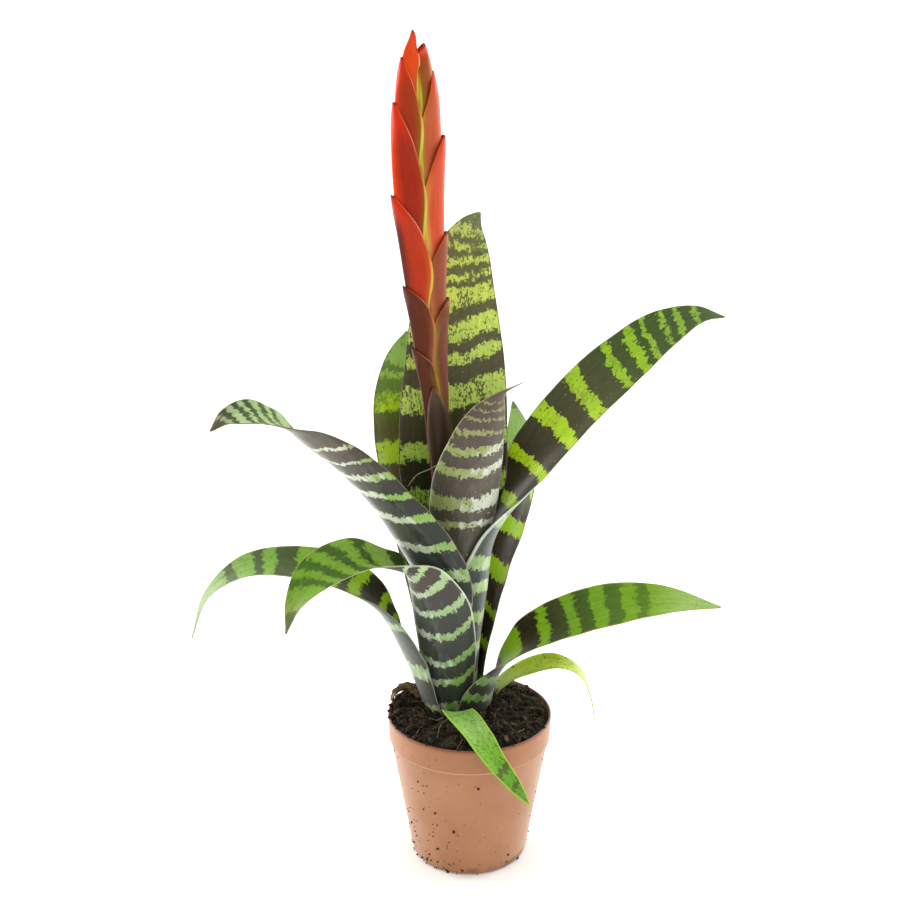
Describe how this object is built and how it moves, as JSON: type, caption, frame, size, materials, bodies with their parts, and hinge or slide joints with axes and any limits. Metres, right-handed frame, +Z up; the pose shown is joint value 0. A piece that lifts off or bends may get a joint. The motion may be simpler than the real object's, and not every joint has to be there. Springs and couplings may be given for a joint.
{
  "type": "potted bromeliad",
  "caption": "Small plastic nursery pot of peat holding a rosette of cross-banded strap leaves round one upright, flattened orange-red flower spike.",
  "frame": {"origin": "centre of the flat underside of the pot, where it stands", "axes": "+Z up along the pot's axis, towards the tip of the flower spike; +X to the right and +Y away, seen from the side that the small drooping leaf hangs over"},
  "size_m": [0.2927, 0.1918, 0.457],
  "materials": {
    "pot": "matte terracotta-coloured plastic, dusted with peat near the foot",
    "soil": "damp dark peat with crumbs, fibres and bits of bark",
    "stump": "short woody stump under the rosette",
    "leaf": "smooth leathery leaf, dark purple-brown cross bands on yellow-green, paler and scurfy on the outer face",
    "withered_leaf": "dry brown curled leaf base",
    "stem": "smooth yellow-green stem",
    "bract": "satin orange-red bract with a yellow-green margin, maroon on the lowest ones"
  },
  "bodies": {
    "root": {"pot": "pot", "soil": "soil", "stump": "stump", "flower_stem": "stem", "leaf_back_left": "leaf", "leaf_back_left_low": "leaf", "leaf_back_low": "leaf", "leaf_back_right": "leaf", "leaf_back_tall": "leaf", "leaf_front_left": "leaf", "leaf_front_small": "leaf", "leaf_front_upright": "leaf", "leaf_left_lower": "leaf", "leaf_left_upper": "leaf", "leaf_right_lower": "leaf", "leaf_right_small": "leaf", "leaf_right_tall": "leaf", "leaf_withered": "withered_leaf", "bract_01": "bract", "bract_02": "bract", "bract_03": "bract", "bract_04": "bract", "bract_05": "bract", "bract_06": "bract", "bract_07": "bract", "bract_08": "bract", "bract_09": "bract", "bract_10": "bract", "bract_11": "bract", "scape_bract": "bract"}
  },
  "joints": []
}
